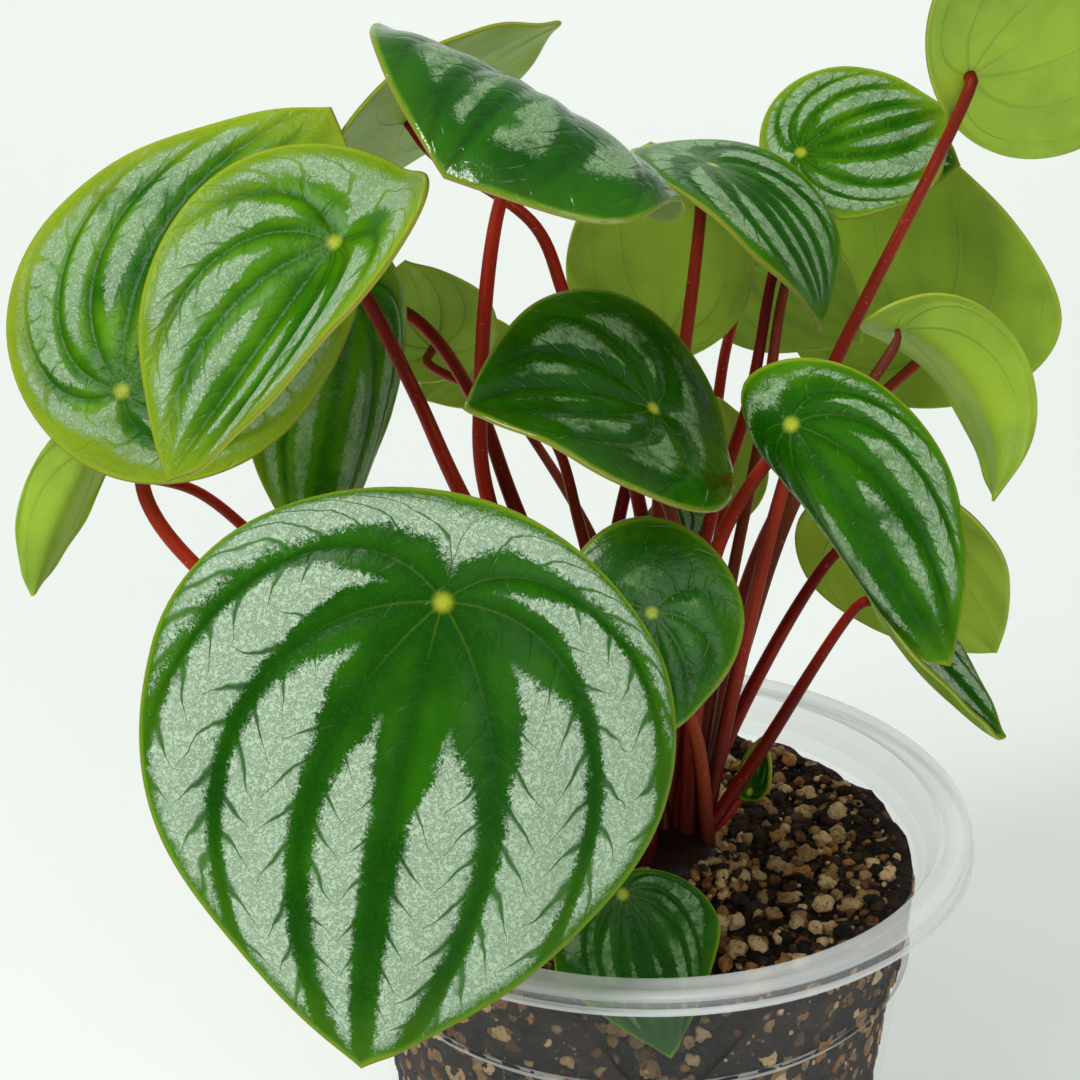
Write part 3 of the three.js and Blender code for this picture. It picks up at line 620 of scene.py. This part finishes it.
def floor_material():
    n = Nodes("floor_paint")
    cloud = n.noise(3, 2)
    # painted shade: the floor is darker near the pot, to even out the extra lamp light that falls
    # there
    away = n.add("ShaderNodeVectorMath", operation="LENGTH")
    n.put(away.inputs[0], n.place)
    far = n.step(0.1, 1.3, away.outputs["Value"])
    near = n.mix(cloud, (0.79, 0.83, 0.79), (0.81, 0.85, 0.81))
    colour = n.mix(far, near, (0.88, 0.92, 0.88))
    return n.finish(Base_Color=colour, Roughness=0.9, Specular_IOR_Level=0.1)


# Leaves

# Length above which a blade gets so many columns and rows of points
GRIDS = ((75, 176, 46), (45, 132, 34), (24, 92, 24), (0, 48, 12))

# Relief of a blade, as shares of its length
SWELL = 0.0080  # between the veins
CALM_SWELL = 0.0045  # the same on a fully silver blade
GROOVE = 0.0013  # along the veins
GROOVE_WIDTH = 0.028
WAVE = 0.007  # at the margin

FAR_SIDE = 0.25  # share of the relief that a blade which faces away keeps
ROLL = 0.22  # reach of the rounded margin, in millimetres
SEAT = 0.45  # a stalk ends this far under the middle of its blade, inside the blade


def blade(lf):
    place = placement(lf)
    size = place[2]
    columns, rows = next(grid[1:] for grid in GRIDS if size > grid[0])
    q = 1 - 2 * (np.arange(columns) + 0.5) / columns
    t = (np.arange(1, rows + 1) / rows) ** 0.92
    vein = np.tile(q, rows)
    along = np.repeat(t, columns)
    vein = np.append(vein, 0.0)
    along = np.append(along, 0.0001)
    middle, normal = blade_sample(lf, place, vein, along)
    turned = np.abs(vein) + 0.6 * along ** 6 * np.abs(vein) * (1 - np.abs(vein))
    left, right = (np.interp(turned, (0, *half, 1), (*range(len(half) + 1), len(half) + 0.5))
                   for half in lf["ribs"])
    rib = np.where(vein >= 0, left, right)

    # distance to the navel, the margin and the nearest vein, in millimetres
    grid = middle[:-1].reshape(rows, columns, 3)
    navel = middle[-1]
    steps = np.linalg.norm(np.diff(np.concatenate([np.broadcast_to(navel, (1, columns, 3)), grid]),
                                   axis=0), axis=2)
    reach = np.cumsum(steps, axis=0)
    edge = (reach[-1] - reach) * 0.8
    ring = np.linalg.norm(np.roll(grid, -1, 1) - np.roll(grid, 1, 1), axis=2)
    ribs = rib[:-1].reshape(rows, columns)
    rib_step = np.abs(np.roll(ribs, -1, 1) - ribs) + np.abs(ribs - np.roll(ribs, 1, 1)) + 1e-6
    fraction = np.abs((ribs + 0.5) % 1 - 0.5)
    off = fraction * ring / rib_step

    # the place along the nearest vein, carried square to it, for the side veins
    onward = np.gradient(grid, axis=0)
    onward /= np.linalg.norm(onward, axis=2, keepdims=True)
    slide = ((onward[:, 1:] + onward[:, :-1]) / 2 * np.diff(grid, axis=1)).sum(2)
    slide = np.concatenate([np.zeros((rows, 1)), np.cumsum(slide, axis=1)], axis=1)
    nearest = np.rint(ribs * np.sign(q))
    rung = reach.copy()
    for number in np.unique(nearest):
        near = nearest == number
        on_vein = np.where(near, fraction, 9).argmin(axis=1)
        base = (reach - slide)[np.arange(rows), on_vein]
        rung = np.where(near, base[:, None] + slide, rung)

    def with_navel(grid_values, at_navel):
        return np.append(grid_values.ravel(), at_navel)

    reach, edge = with_navel(reach, 0.0), with_navel(edge, edge.max())
    off, rung = with_navel(off, 0.0), with_navel(rung, 0.0)

    # the blade swells between its veins, sinks along them and waves at the margin
    swell = np.sin(math.pi * np.append(fraction.ravel(), 0.0))
    body = smooth(0.05, 0.35, along) * (1 - smooth(0.80, 1.0, along))
    lift = (CALM_SWELL if lf["silver"] == 1 else SWELL) * size * swell * body
    lift -= GROOVE * size * np.exp(-(off / (GROOVE_WIDTH * size)) ** 2) * body
    lift *= FAR_SIDE if lf["face"][1] > 0 else 1
    turn = math.pi * vein
    phase = sum(lf["navel"])
    wave = np.sin(3 * turn + phase) + 0.6 * np.sin(7 * turn + 2 * phase)
    lift += WAVE * size * wave * smooth(0.55, 1.0, along)
    middle = middle + normal * lift[:, None]

    half = ((BLADE + (MARGIN - BLADE) * along) / 2)[:, None]
    upper = middle + normal * half
    lower = middle - normal * half
    last = slice((rows - 1) * columns, rows * columns)
    before = slice((rows - 2) * columns, (rows - 1) * columns)
    outward = middle[last] - middle[before]
    outward /= np.linalg.norm(outward, axis=1, keepdims=True)
    rim = middle[last] + outward * ROLL
    points = np.concatenate([upper, lower, rim])
    count = rows * columns + 1
    rim_start = 2 * count

    k = np.arange(columns)
    after = (k + 1) % columns
    faces, kinds = [], []
    for first, kind, step in ((0, 0, 1), (count, 1, -1)):
        centre = first + rows * columns
        fan = np.stack([np.full(columns, centre), first + k, first + after], 1)
        faces += fan[:, ::step].tolist()
        for row in range(rows - 1):
            a = first + row * columns
            quad = np.stack([a + k, a + columns + k, a + columns + after, a + after], 1)
            faces += quad[:, ::step].tolist()
        kinds += [kind] * (len(faces) - len(kinds))
    edge_row = (rows - 1) * columns
    top = np.stack([edge_row + k, rim_start + k, rim_start + after, edge_row + after], 1)
    low = np.stack([rim_start + k, count + edge_row + k, count + edge_row + after,
                    rim_start + after], 1)
    faces += top.tolist() + low.tolist()
    kinds += [0] * columns + [1] * columns

    values = dict(rib=rib, reach=reach, edge=edge, off=off, rung=rung)
    values = {key: np.concatenate([v, v, v[last]]) for key, v in values.items()}
    return mesh_object("blade_" + lf["name"], points, faces, "leaf_" + lf["name"],
                       (upper_material(lf, size), under_material(lf, size)), values, kinds)


# Stalks: the solid model's lines, thicker in facets, seated in the blades

def smooth_line(points, count):
    """Centripetal curve through the points, at equal steps of its length."""
    p = [np.array(v, float) for v in points]
    p = [2 * p[0] - p[1]] + p + [2 * p[-1] - p[-2]]
    out = []
    for a, b, c, d in zip(p, p[1:], p[2:], p[3:]):
        t0 = np.linalg.norm(b - a) ** 0.5
        t1 = np.linalg.norm(c - b) ** 0.5
        t2 = np.linalg.norm(d - c) ** 0.5
        m0 = ((b - a) / t0 - (c - a) / (t0 + t1) + (c - b) / t1) * t1
        m1 = ((c - b) / t1 - (d - b) / (t1 + t2) + (d - c) / t2) * t1
        s = np.linspace(0, 1, 60)[:, None]
        out.append((2 * s ** 3 - 3 * s ** 2 + 1) * b + (s ** 3 - 2 * s ** 2 + s) * m0
                   + (3 * s ** 2 - 2 * s ** 3) * c + (s ** 3 - s ** 2) * m1)
    line = np.concatenate(out)
    length = np.append(0, np.cumsum(np.linalg.norm(np.diff(line, axis=0), axis=1)))
    at = np.linspace(0, length[-1], count)
    return np.stack([np.interp(at, length, line[:, i]) for i in range(3)], 1), length[-1]


RING_STEP = 1.6  # millimetres from ring to ring of a stalk, or less on a short one


def stalks():
    points, faces, grain, tone, height = [], [], [], [], []
    sides = 14
    ring_angle = np.arange(sides) * 2 * math.pi / sides
    for index, lf in enumerate(LEAVES):
        place = placement(lf)
        navel, _, size = place
        normal = blade_sample(lf, place, np.array(0.0), np.array(0.001))[1]
        aim = np.array(lf["by"][0] if lf["by"] else lf["navel"], float)
        azimuth = math.atan2(aim[1] - CROWN[1], aim[0] - CROWN[0])
        out = ROOT_RADII[index % 2]
        root = (CROWN[0] + out * math.cos(azimuth), CROWN[1] + out * math.sin(azimuth),
                ROOT_HEIGHTS[index % 3])
        way = [root, *lf["by"], navel - normal * lf["neck"], navel - normal * SEAT]
        span = sum(np.linalg.norm(np.subtract(b, a)) for a, b in zip(way, way[1:]))
        line, length = smooth_line(way, max(24, int(span / RING_STEP)))
        steep = max(abs(lf["fold"][0]), abs(lf["fold"][1])) > 35
        sideways = np.array([1.0, 0, 0])
        hue = RNG.random() ** 3 * 0.8
        phase = RNG.random() * 6
        start = len(points)
        for i, centre in enumerate(line):
            share = i / (len(line) - 1)
            tangent = line[min(i + 1, len(line) - 1)] - line[max(i - 1, 0)]
            tangent /= np.linalg.norm(tangent)
            sideways = sideways - sideways.dot(tangent) * tangent
            sideways /= np.linalg.norm(sideways)
            other = np.cross(tangent, sideways)
            left = (1 - share) * length
            # thicker under a large blade, thinner towards it, slightly knotty
            radius = (0.8 + 0.009 * size) * (1.3 - 0.45 * share)
            radius *= 1 + 0.025 * math.sin(0.11 * share * length + phase)
            if steep:
                radius *= 0.45 + 0.55 * min(1, left / 4.0)
            else:
                radius *= 1 + 0.10 * math.exp(-left / 1.5)
            for a in ring_angle:
                ridge = 1 + 0.035 * math.cos(3 * a + phase)
                points.append(centre + radius * ridge * (math.cos(a) * sideways
                                                         + math.sin(a) * other))
                grain.append((radius * math.cos(a) * MM, radius * math.sin(a) * MM,
                              (share * length * 0.07 + 31 * index) * MM))
                tone.append(hue)
                height.append(share)
        faces += tube(start, len(line), sides)
    # the crown: a lumpy stub that the stalks sink into
    x, y, radius, low, high = CROWN
    start = len(points)
    crown_rings = [(radius - 1.5, low), (radius, low + 2), (radius, high - 7),
                   (radius - 0.6, high - 5), (radius - 1.6, high - 2.5), (radius - 3.2, high - 1),
                   (radius - 5, high), (radius - 8, high + 0.4)]
    around = 40
    for r, z in crown_rings:
        for s in range(around):
            a = 2 * math.pi * s / around
            depth, lobes = (0.02, 5) if z < high - 6 else (0.04, 7)
            lump = 1 + depth * math.sin(lobes * a + z)
            points.append(np.array([x + r * lump * math.cos(a), y + r * lump * math.sin(a), z]))
            grain.append((r * math.cos(a) * MM, r * math.sin(a) * MM, z * 0.3 * MM))
            tone.append(0.9)
            # a height below zero marks the crown for its painted shade
            height.append(-0.3)
    faces += tube(start, len(crown_rings), around)
    return mesh_object("stalks", points, faces, "stems", (stalk_material(),),
                       dict(grain=grain, tone=tone, height=height))


# Soil

def body_radius(z):
    slope = (BODY_TOP_RADIUS - BASE_RADIUS) / (RIM_TOP - NECK)
    return BASE_RADIUS + slope * z - (LEDGE_DEPTH if z < LEDGE else 0)


def soil_height(x, y):
    lumps = (0.7 * math.sin(0.21 * x + 1.3) * math.cos(0.17 * y)
             + 0.5 * math.sin(0.37 * x - 0.29 * y + 2))
    dip = math.hypot(x - DIP[0], y - DIP[1]) / DIP[3]
    return SOIL_TOP + lumps - DIP[2] * math.exp(-dip * dip)


def soil_surface(x, y):
    """The soil's height with its crumbs."""
    return soil_height(x, y) + 0.9 * noise.fractal(Vector((x, y, 0)) * 0.22, 0.9, 2.1, 4)


def soil():
    def side(z):
        return body_radius(z) - WALL - 0.10

    # rings up the wall have a radius and a height, rings on the top only a share of the radius
    around = 260
    foot, level_step = 1.95, 1.5
    levels = [2.2 + level_step * i for i in range(int((SOIL_TOP - 4) / level_step))]
    rings = [(side(foot) - 1.9, foot)] + [(side(z) - 0.1, z) for z in levels]
    rings += [(share, None) for share in np.linspace(1, 0.02, 46)]
    wall = side(SOIL_TOP)
    points = []
    for r, level in rings:
        for a in range(around):
            angle = 2 * math.pi * a / around
            c, s = math.cos(angle), math.sin(angle)
            shore = soil_height(wall * c, wall * s)
            if level is None:
                edge = side(shore) - 0.9
                x, y = r * edge * c, r * edge * s
                points.append((x, y, soil_surface(x, y) - 0.8 * smooth(0.96, 1, r)))
            else:
                z = min(level, shore - 0.8)
                inward = 0.15 + 0.15 * noise.noise(Vector((r * c, r * s, z)) * 0.6)
                points.append(((r - inward) * c, (r - inward) * s, z))
    faces = tube(0, len(rings), around)
    mesh_object("soil_mix", points, faces, "soil", (soil_material(),))


def icosphere(level):
    form = bmesh.new()
    bmesh.ops.create_icosphere(form, subdivisions=level, radius=1)
    form.verts.ensure_lookup_table()
    verts = np.array([v.co[:] for v in form.verts])
    faces = [[v.index for v in f.verts] for f in form.faces]
    form.free()
    return verts, faces


SPREAD = 51.5  # the middles of loose grains lie within this radius
GRAIN_LIMIT = 52.6  # and their outer ends within this one


def grit():
    """Loose grains and bark chips: on the soil, heaped round the crown, pressed on the wall."""
    shapes = {level: icosphere(level) for level in (1, 2, 3)}
    kinds = {
        "grit_pale": ((0.62, 0.43, 0.22), (0.30, 0.17, 0.07), 620, (0.6, 2.4), 0.85),
        "grit_rust": ((0.36, 0.17, 0.050), (0.12, 0.05, 0.018), 1000, (0.3, 1.7), 0.8),
        "bark_dark": ((0.040, 0.021, 0.012), (0.006, 0.004, 0.003), 1900, (0.4, 2.0), 0.6),
    }
    x0, y0, crown = CROWN[:3]
    for name, (light, deep, count, sizes, flat) in kinds.items():
        points, faces, tone = [], [], []
        finest = 2 if name == "bark_dark" else 3

        def lay(size, stretch, tilt, set_down):
            verts, tris = shapes[min(finest, 3 if size > 1.5 else 2 if size > 0.9 else 1)]
            start = Vector(RNG.random(3) * 20)
            dents = [1 + 0.5 * noise.noise(Vector(v * 1.4) + start) for v in verts]
            v = verts * np.array(dents)[:, None] * np.array(stretch) * size
            for (i, j), angle in zip(((1, 2), (0, 2), (0, 1)), tilt):
                c, s = math.cos(angle), math.sin(angle)
                v[:, i], v[:, j] = c * v[:, i] - s * v[:, j], s * v[:, i] + c * v[:, j]
            base = len(points)
            points.extend(set_down(v).tolist())
            faces.extend([[base + i for i in f] for f in tris])
            tone.extend([RNG.random()] * len(verts))

        for k in range(count + count // 4):
            size = sizes[0] + (sizes[1] - sizes[0]) * RNG.random() ** 2.4
            a = 2 * math.pi * RNG.random()
            if k < count:
                r = SPREAD * math.sqrt(RNG.random())
                x, y, mound = r * math.cos(a), r * math.sin(a), 0
                if math.hypot(x - x0, y - y0) < crown + size + 0.6 or r + size > GRAIN_LIMIT:
                    continue
            else:
                size = 0.5 + 0.5 * size
                r = crown - 3 + 8 * RNG.random()
                x, y = x0 + r * math.cos(a), y0 + r * math.sin(a)
                mound = 5.8 - 0.62 * abs(r - crown + 2) - 1.0 * RNG.random()
            z = soil_surface(x, y) + mound
            z += size * flat * (0.15 + 0.4 * RNG.random())
            lay(size, (1, 0.75 + 0.25 * RNG.random(), flat * (0.8 + 0.3 * RNG.random())),
                (0.5 * RNG.random(), 0.5 * RNG.random(), 6.3 * RNG.random()),
                lambda v: v + [x, y, z])

        for _ in range(count):
            a = 2 * math.pi * RNG.random()
            z = 25 + 69 * math.sqrt(RNG.random())
            size = sizes[0] + (sizes[1] - 0.2) * RNG.random() ** 2
            wall = body_radius(z) - WALL - 0.35
            if z > soil_height(wall * math.cos(a), wall * math.sin(a)) - size:
                continue

            def press(v):
                r = np.minimum(wall + v[:, 0] - 0.15 * size, wall + 0.28)
                turn = a + v[:, 1] / wall
                return np.stack([r * np.cos(turn), r * np.sin(turn), z + v[:, 2]], 1)

            lay(size, (0.4, 1, 0.75 + 0.25 * RNG.random()), (6.3 * RNG.random(),), press)
        mesh_object(name, points, faces, None, (grain_material(name, light, deep),),
                    dict(tone=tone))


# Pot

def pot():
    top, bottom, neck = RIM_TOP, RIM_TOP - SKIRT, RIM_TOP - NECK

    def inner(z):
        return body_radius(z) - WALL

    corners = [
        (0, 0), (body_radius(0) - 1.2, 0), (body_radius(1.2), 1.2),
        (body_radius(LEDGE - 0.5), LEDGE - 0.5), (body_radius(LEDGE + 0.6), LEDGE + 0.6),
        (BODY_TOP_RADIUS, neck), (BODY_TOP_RADIUS + 1.6, top - 5),
        (MOUTH_RADIUS + 1.4, top - 2), (RIM_RADIUS - 1.5, top - 1.9), (RIM_RADIUS - 1.1, bottom),
        (RIM_RADIUS, bottom), (RIM_RADIUS - 0.12, bottom + 1), (RIM_RADIUS - 0.35, bottom + 1.2),
        (RIM_RADIUS - 0.5, top - 0.7), (RIM_RADIUS - 1.2, top), (RIM_RADIUS - 2.6, top - 0.2),
        (RIM_RADIUS - 3.6, top - 0.8), (MOUTH_RADIUS + 2, top - 0.8),
        (MOUTH_RADIUS + 1.2, top - 0.1), (MOUTH_RADIUS, top - 0.7),
        (MOUTH_RADIUS - 1.9, top - 4.9), (inner(neck), neck),
        (inner(SOIL_TOP), SOIL_TOP), (inner(LEDGE + 0.6), LEDGE + 0.6),
        (inner(LEDGE - 0.5), LEDGE - 0.5), (inner(FLOOR + 1.5), FLOOR + 1.5),
        (inner(FLOOR) - 1.5, FLOOR), (0, FLOOR),
    ]
    # every corner is eased by two points close to it
    profile = []
    for i, here in enumerate(corners):
        if i in (0, len(corners) - 1):
            profile.append(here)
            continue
        for there in (corners[i - 1], corners[i + 1]):
            length = math.dist(here, there)
            share = min(0.35 / length, 0.3)
            profile.append((here[0] + (there[0] - here[0]) * share,
                            here[1] + (there[1] - here[1]) * share))
    around = 176
    points = []
    for r, z in profile[1:-1]:
        for s in range(around):
            a = 2 * math.pi * s / around
            points.append((r * math.cos(a), r * math.sin(a), z))
    rings = len(profile) - 2
    points += [(0, 0, profile[0][1]), (0, 0, profile[-1][1])]
    faces = tube(0, rings, around, capped=False)
    for s in range(around):
        nxt = (s + 1) % around
        faces.append((rings * around, nxt, s))
        faces.append((rings * around + 1, (rings - 1) * around + s, (rings - 1) * around + nxt))
    # the plastic is clearest in the wall, milky at the rim and in the throat; edges are painted
    # white, a painted highlight
    kinds = []
    wall, rim, edge, throat = range(4)
    for f in faces:
        heights = [points[i][2] for i in f]
        radii = [math.hypot(points[i][0], points[i][1]) for i in f]
        low, high = min(heights), max(heights)
        broad = math.hypot(max(radii) - min(radii), high - low) > 1.6
        if low > SOIL_TOP - 1 and high < top - 0.5 and max(radii) < MOUTH_RADIUS + 0.3:
            kinds.append(throat)
        elif broad and high < neck - 0.3:
            kinds.append(wall)
        else:
            kinds.append(rim if broad or high < 50 else edge)
    mesh_object("clear_pot", points, faces, "pot",
                (pot_material("clear_wall", 0.03, 0.9), pot_material("clear_rim", 0.11, 0.85),
                 pot_material("clear_edge_highlight", 0.50, 1.0), pot_material("clear_throat", 0.14, 0.8)),
                face_material=kinds)


# Stage

def stage():
    material = floor_material()
    mesh = bpy.data.meshes.new("floor")
    width, depth, bend = 5.0, 2.6, 1.2
    points, faces = [], []
    profile = [(-3.0, 0.0), (depth, 0.0)]
    profile += [(depth + bend * math.sin(a), bend * (1 - math.cos(a)))
                for a in np.linspace(0.08, math.pi / 2, 20)]
    profile.append((depth + bend, 4.5))
    for y, z in profile:
        points += [(-width, y, z), (width, y, z)]
    for i in range(len(profile) - 1):
        a = 2 * i
        faces.append((a, a + 1, a + 3, a + 2))
    mesh.from_pydata(points, [], faces)
    mesh.materials.append(material)
    mesh.polygons.foreach_set("use_smooth", [True] * len(mesh.polygons))
    floor = bpy.data.objects.new("floor", mesh)
    bpy.context.scene.collection.objects.link(floor)

    world = bpy.data.worlds.new("studio")
    world.use_nodes = True
    background = world.node_tree.nodes["Background"]
    background.inputs[0].default_value = (0.93, 0.98, 0.94, 1)
    background.inputs[1].default_value = 0.22
    bpy.context.scene.world = world

    for name, place, aim, size, power in (
            ("key", (-0.62, -0.60, 1.10), (0, 0, 0.18), 0.45, 10),
            ("fill", (0.5, -1.5, 0.85), (0, 0, 0.16), 1.0, 6),
            ("wash", (0, 1.8, 2.7), (0, 1.3, 0.3), 3.0, 70)):
        data = bpy.data.lights.new(name, "AREA")
        data.shape = "SQUARE"
        data.size = size
        data.energy = power
        lamp = bpy.data.objects.new(name, data)
        lamp.location = place
        lamp.rotation_euler = (Vector(aim) - Vector(place)).to_track_quat("-Z", "Y").to_euler()
        lamp.visible_glossy = name != "wash"
        bpy.context.scene.collection.objects.link(lamp)


def camera():
    data = bpy.data.cameras.new("camera")
    data.sensor_width = SENSOR_WIDTH
    data.lens = FOCAL_PIXELS / PICTURE_PIXELS * SENSOR_WIDTH
    data.clip_start = 0.01
    data.clip_end = 50
    view = bpy.data.objects.new("camera", data)
    view.location = [value * MM for value in CAMERA_PLACE]
    view.rotation_euler = (math.radians(90 - CAMERA_PITCH), 0, 0)
    bpy.context.scene.collection.objects.link(view)
    bpy.context.scene.camera = view
    bpy.context.scene.view_settings.view_transform = "Standard"


camera()
stage()
for lf in LEAVES:
    blade(lf)
stalks()
soil()
grit()
pot()

bpy.context.view_layer.update()
